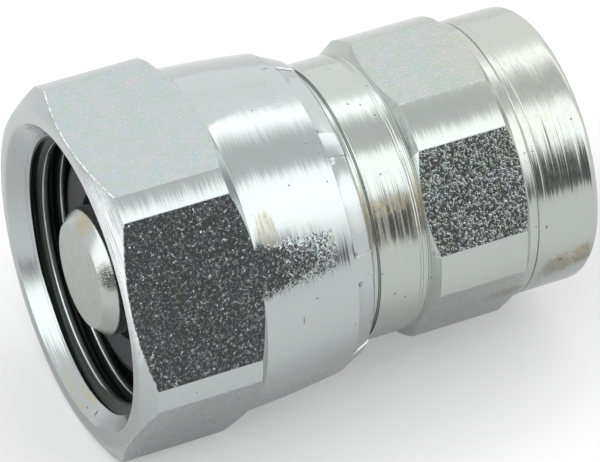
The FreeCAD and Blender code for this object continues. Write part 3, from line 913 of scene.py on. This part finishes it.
class COUPLING_OT_end_body(bpy.types.Operator):
    """Makes the end body with its band, hexagon, rear cylinder and port"""

    bl_idname = "coupling.end_body"
    bl_label = "End Body"

    def execute(self, context):
        finish = context.scene.coupling_finish
        band, land_radius, cylinder = 14.88, 14.95, 14.87
        run_out, flow, nose_thread, ring_seat = 10.73, 9.0, 12.52, 12.92
        groove = BODY_FRONT + 3.3
        line = BODY_FRONT + 9.1
        band_end = BODY_FRONT + 9.3
        land = HEX_REAR + 0.85
        nose_end = BODY_FRONT + 11.6
        outline = [
            (BODY_FRONT, band, 0.1),
            (groove, band, 0.05), (groove, band - 0.35), (groove + 0.45, band - 0.35),
            (groove + 0.45, band, 0.05),
            (line - 0.15, band, 0.03), (line - 0.08, band - 0.12), (line + 0.08, band - 0.12),
            (line + 0.15, band, 0.02), (band_end, band), (HEX_FRONT, BODY_CORNER),
            (HEX_REAR, BODY_CORNER), (land, land_radius, 0.08), (land + 0.9, land_radius, 0.05),
            (land + 0.9, cylinder - 0.06), (land + 1.1, cylinder - 0.06),
            (land + 1.1, cylinder, 0.03), (BODY_REAR, cylinder, 1.0),
            (BODY_REAR, PORT_MOUTH, 0.1), (BODY_REAR - 1.0, PORT_ROOT), (PORT_END, PORT_ROOT),
            (PORT_END, run_out), (PORT_END - 1.6, run_out), (PORT_END - 1.6, flow), (nose_end, flow),
            (nose_end, nose_thread), (BODY_FRONT + 4.6, nose_thread), (BODY_FRONT + 4.6, ring_seat),
            (BODY_FRONT, ring_seat),
        ]
        bm = turned(outline)
        mill_flats(bm, BODY_FLAT, math.radians(90) + BODY_TURN)
        ease_edges(bm, 0.1, 16, lambda p: band_end < p.x < land and p.yz.length > 14.9)
        finish_piece("end_body_dressed", bm, "body", body_zinc(finish), ["end_body"])
        return {"FINISHED"}


class COUPLING_OT_nose(bpy.types.Operator):
    """Makes the nose body and the rubber seal in its face"""

    bl_idname = "coupling.nose"
    bl_label = "Nose and Face Seal"

    def execute(self, context):
        finish = context.scene.coupling_finish
        collar = NOSE_FRONT + 10.8
        spigot = collar + 8.7
        clip_front, clip_rear, clip_groove = 24.2, 25.4, 11.0
        outside, collar_radius, spigot_radius = 12.6, 15.95, 12.9
        bore, seat, seal_outside = 10.4, 7.9, 11.42
        outline = [
            (NOSE_FRONT, seal_outside), (NOSE_FRONT, 11.6, 0.08),
            (NOSE_FRONT + 1.0, outside, 0.2), (collar, outside), (collar, collar_radius, 0.2),
            (collar + 3.0, collar_radius), (collar + 3.0, 14.51), (collar + 5.2, 14.51),
            (collar + 5.2, collar_radius), (spigot, collar_radius, 0.1), (spigot, spigot_radius),
            (spigot + 0.7, spigot_radius), (spigot + 0.7, 11.55), (spigot + 3.7, 11.55),
            (spigot + 3.7, spigot_radius), (spigot + 4.4, spigot_radius), (spigot + 4.4, 12.5),
            (NOSE_REAR - 0.4, 12.5), (NOSE_REAR, 12.1), (NOSE_REAR, 10.8),
            (NOSE_REAR - 0.4, bore), (clip_rear, bore), (clip_rear, clip_groove),
            (clip_front, clip_groove), (clip_front, bore), (NOSE_FRONT + 3.2, bore),
            (NOSE_FRONT + 3.2, seat), (NOSE_FRONT + 1.6, seat), (NOSE_FRONT + 1.6, seal_outside),
        ]
        finish_piece("nose_body_dressed", turned(outline), "body", nose_zinc(finish),
                     ["nose_body"])
        ring = [
            (SEAL_FRONT, seat, 0.15), (SEAL_FRONT, 11.4, 0.15), (SEAL_REAR, 11.4), (SEAL_REAR, seat),
        ]
        finish_piece("face_seal_dressed", turned(ring, 180), "body",
                     rubber("face seal rubber", (0.03, 0.03, 0.035)), ["face_seal"])
        return {"FINISHED"}


class COUPLING_OT_valve_poppet(bpy.types.Operator):
    """Makes the valve poppet with its flat-ended pusher and its stem"""

    bl_idname = "coupling.valve_poppet"
    bl_label = "Valve Poppet"

    def execute(self, context):
        finish = context.scene.coupling_finish
        seal, retainer, stem = 3.23, 5.03, 8.43
        head, seal_seat, thread, shaft = 6.8, 4.5, 3.5, 2.5
        outline = [
            (POPPET_FRONT, 5.55, 0.12), (POPPET_FRONT + 1.3, head, 0.2), (seal, head),
            (seal, seal_seat), (retainer, seal_seat), (retainer, thread), (stem, thread),
            (stem, shaft), (POPPET_REAR - 0.6, shaft), (POPPET_REAR, 1.9), (POPPET_REAR, 0.0),
            (POPPET_FRONT, 0.0),
        ]
        finish_piece("valve_poppet_dressed", turned(outline, 180), "poppet",
                     poppet_zinc(finish), ["valve_poppet"])
        return {"FINISHED"}


class COUPLING_OT_threads(bpy.types.Operator):
    """Makes the threads in the union nut and in the port"""

    bl_idname = "coupling.threads"
    bl_label = "Threads"

    def execute(self, context):
        finish = context.scene.coupling_finish
        nut = thread_ridge(
            front=-6.49, turns=8, pitch=2.0, crest=13.9, root=14.88, crest_width=0.5,
            root_width=0.3, wall=NUT_ROOT + 0.02, ends=(MOUTH - NUT_ROOT, 8.5),
            cone=lambda x: MOUTH + 0.03 - x,
        )
        finish_piece("nut_thread", nut, "nut", nut_thread_zinc(finish))
        port = thread_ridge(
            front=BODY_REAR - 15.2, turns=9, pitch=1.814, crest=9.32, root=10.4, crest_width=0.4,
            root_width=0.4, wall=PORT_ROOT + 0.02, ends=(PORT_END, BODY_REAR - 0.9),
            cone=lambda x: PORT_MOUTH - (BODY_REAR - x),
        )
        finish_piece("port_thread", port, "body", port_thread_zinc(finish))
        return {"FINISHED"}


class COUPLING_OT_inner_parts(bpy.types.Operator):
    """Gives the rings and the guide inside their finishes"""

    bl_idname = "coupling.inner_parts"
    bl_label = "Inner Parts"

    def execute(self, context):
        ground = ground_steel("ground steel", (0.5, 0.5, 0.48), 0.32)
        brass = ground_steel("machined brass", (0.72, 0.55, 0.27), 0.3)
        ptfe = white_ptfe()
        black = rubber("ring rubber", (0.022, 0.022, 0.022))
        finishes = {
            "thrust_ring": ground, "seal_retainer": ground, "valve_guide": brass,
            "guide_bush": ptfe, "body_backup_ring": ptfe, "poppet_seal": black,
            "body_o_ring": black, "nut_o_ring": black,
            "guide_circlip": ground_steel("phosphated circlip", (0.12, 0.12, 0.12), 0.45),
        }
        for node, finish in finishes.items():
            dress(node, finish)
        return {"FINISHED"}


class COUPLING_OT_valve_spring(bpy.types.Operator):
    """Makes the valve spring in the shape its CAD node gives it; in use it is squeezed against the guide as
    the poppet goes in
    """

    bl_idname = "coupling.valve_spring"
    bl_label = "Valve Spring"

    def execute(self, context):
        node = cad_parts["valve_spring"]
        bm = bmesh.new()
        bm.from_mesh(node.data)
        bmesh.ops.transform(bm, matrix=Matrix.Scale(1 / MM, 4) @ node.matrix_world, verts=bm.verts)
        bmesh.ops.remove_doubles(bm, verts=bm.verts, dist=0.0005)
        spring = finish_piece("valve_spring_dressed", bm, "body", spring_wire(),
                              ["valve_spring"])
        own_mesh(spring)
        return {"FINISHED"}


class COUPLING_OT_stage(bpy.types.Operator):
    """Makes the floor, the surroundings and the camera"""

    bl_idname = "coupling.stage"
    bl_label = "Studio"

    def execute(self, context):
        scene = context.scene
        scene.view_settings.view_transform = "Standard"
        make_floor(scene)
        make_surroundings(scene)
        make_camera(scene)
        return {"FINISHED"}


def make_floor(scene):
    """A matt floor that glows a little where the camera or a mirroring piece sees it, less so near the
    part, which paints shade on the floor there and in its reflections.
    """
    bm = bmesh.new()
    bmesh.ops.create_circle(bm, cap_ends=True, segments=96, radius=3.0)
    bmesh.ops.translate(bm, vec=(0, 0, FLOOR - 0.0002), verts=bm.verts)
    mesh = bpy.data.meshes.new("floor")
    bm.to_mesh(mesh)
    bm.free()
    floor = bpy.data.objects.new("floor", mesh)
    scene.collection.objects.link(floor)
    made, nodes = material("floor")
    path = nodes.add("ShaderNodeLightPath")
    mirrored = path.out("Is Glossy Ray").maths("MAXIMUM", path.out("Is Transmission Ray"))
    paper = nodes.add("ShaderNodeBsdfDiffuse", {}, {"Color": scene.coupling_studio.floor[:]})
    x, y, _ = nodes.parts(nodes.object_place())
    middle, half_length = 22.0, 26.0
    beyond = (abs(x - middle) - half_length).maths("MAXIMUM", 0.0)
    # The glow fades near the part: painted shade on the floor and in the part's reflections of it.
    away = ((beyond * beyond + y * y) ** 0.5).between(10.0, 38.0)
    seen = path.out("Is Camera Ray") * (away * 0.4 + 1.0)
    seen = seen.maths("MAXIMUM", mirrored * (away * 0.6 + 0.4))
    glow = nodes.add("ShaderNodeEmission", {}, {
        "Color": (1.0, 1.0, 1.0), "Strength": seen * scene.coupling_studio.floor_glow,
    })
    both = nodes.add("ShaderNodeAddShader", {}, {0: paper.out(0), 1: glow.out(0)})
    nodes.add("ShaderNodeOutputMaterial", {}, {"Surface": both.out(0)})
    mesh.materials.append(made)


def make_surroundings(scene):
    """A white tent with a long softbox in front of the part and a dark opening below it.

    Directions are given by their angle about the part's axis, from 0 on the camera's side over 90
    overhead to 180 behind, and by how far they lean towards the port.
    """
    world = bpy.data.worlds.new("studio")
    scene.world = world
    world.use_nodes = True
    nodes = Nodes(world.node_tree)
    lean, y, z = nodes.parts(nodes.add("ShaderNodeTexCoord").out("Generated"))
    turn = z.maths("ARCTAN2", -y) * (180 / math.pi)
    mouth_side = 1.0 - lean.between(-0.6, 0.1)
    # Brightness of the tent by angle
    stops = [(0, 0.12), (69, 0.12), (72, 0.85), (99, 0.85), (106, 1.4), (112, 2.2), (122, 2.2),
             (127, 1.31), (150, 1.28), (180, 1.25)]
    tent = nodes.add("ShaderNodeValToRGB", {
        "stops": [(place / 180, (level,) * 3) for place, level in stops],
    }, {"Fac": turn / 180.0}).out("Color")
    bend = (lean - 0.35).maths("MINIMUM", 0.0) + (lean - 0.44).maths("MAXIMUM", 0.0) * 1.2
    lower = (29.0 - bend * 170.0).maths("MAXIMUM", -10.0).maths("MINIMUM", 60.0)
    lower = lower + lean.between(0.36, 0.42) * 8.0
    upper = 70.5 + mouth_side * 46.0
    opening = nodes.blend(mouth_side, turn.between(lower - 3.0, lower + 5.0), turn.between(-6.0, 52.0))
    softbox = opening * (1.0 - turn.between(upper, upper + 7.0))
    level = turn.between(10.0, 45.0) * 0.75 + 1.35
    shaded = nodes.mix(mouth_side * 0.36, tent, (0.4, 0.4, 0.4))
    colour = nodes.mix(softbox, shaded, nodes.vector(level, level, level))
    light = nodes.add("ShaderNodeBackground", {}, {"Color": colour, "Strength": 1.0})
    nodes.add("ShaderNodeOutputWorld", {}, {"Surface": light.out(0)})


def make_camera(scene):
    """A camera that stands and looks as the photograph's did."""
    data = bpy.data.cameras.new("camera")
    data.sensor_width = 36.0
    data.lens = 261.6
    data.clip_start, data.clip_end = 0.01, 20.0
    camera = bpy.data.objects.new("camera", data)
    scene.collection.objects.link(camera)
    right = Vector((0.9028, -0.4289, 0.0302)).normalized()
    ahead = Vector((0.3345, 0.6565, -0.6760)).normalized()
    up = right.cross(ahead).normalized()
    right = ahead.cross(up)
    turn = Matrix((right, up, -ahead)).transposed()
    camera.matrix_world = Matrix.Translation((-0.1304, -0.2978, 0.3037)) @ turn.to_4x4()
    scene.camera = camera


class COUPLING_PT_panel(bpy.types.Panel):
    bl_idname = "COUPLING_PT_panel"
    bl_label = "Coupling"
    bl_space_type = "VIEW_3D"
    bl_region_type = "UI"
    bl_category = "Coupling"

    def draw(self, context):
        for operator in PIECES:
            self.layout.operator(operator.bl_idname)


GROUPS = {
    "coupling_nut": CouplingNutSizes, "coupling_finish": CouplingFinish, "coupling_studio": CouplingStudio,
}
PIECES = [
    COUPLING_OT_union_nut, COUPLING_OT_end_body, COUPLING_OT_nose, COUPLING_OT_valve_poppet,
    COUPLING_OT_threads, COUPLING_OT_valve_spring, COUPLING_OT_inner_parts, COUPLING_OT_stage,
]


def register():
    for kind in (*GROUPS.values(), *PIECES, COUPLING_PT_panel):
        bpy.utils.register_class(kind)
    for name, kind in GROUPS.items():
        setattr(bpy.types.Scene, name, PointerProperty(type=kind))


def unregister():
    for name in GROUPS:
        delattr(bpy.types.Scene, name)
    for kind in (COUPLING_PT_panel, *reversed(PIECES), *GROUPS.values()):
        bpy.utils.unregister_class(kind)


def main():
    register()
    for operator in PIECES:
        getattr(bpy.ops.coupling, operator.bl_idname.split(".")[1])()
    bpy.context.view_layer.update()


if __name__ == "__main__":
    main()
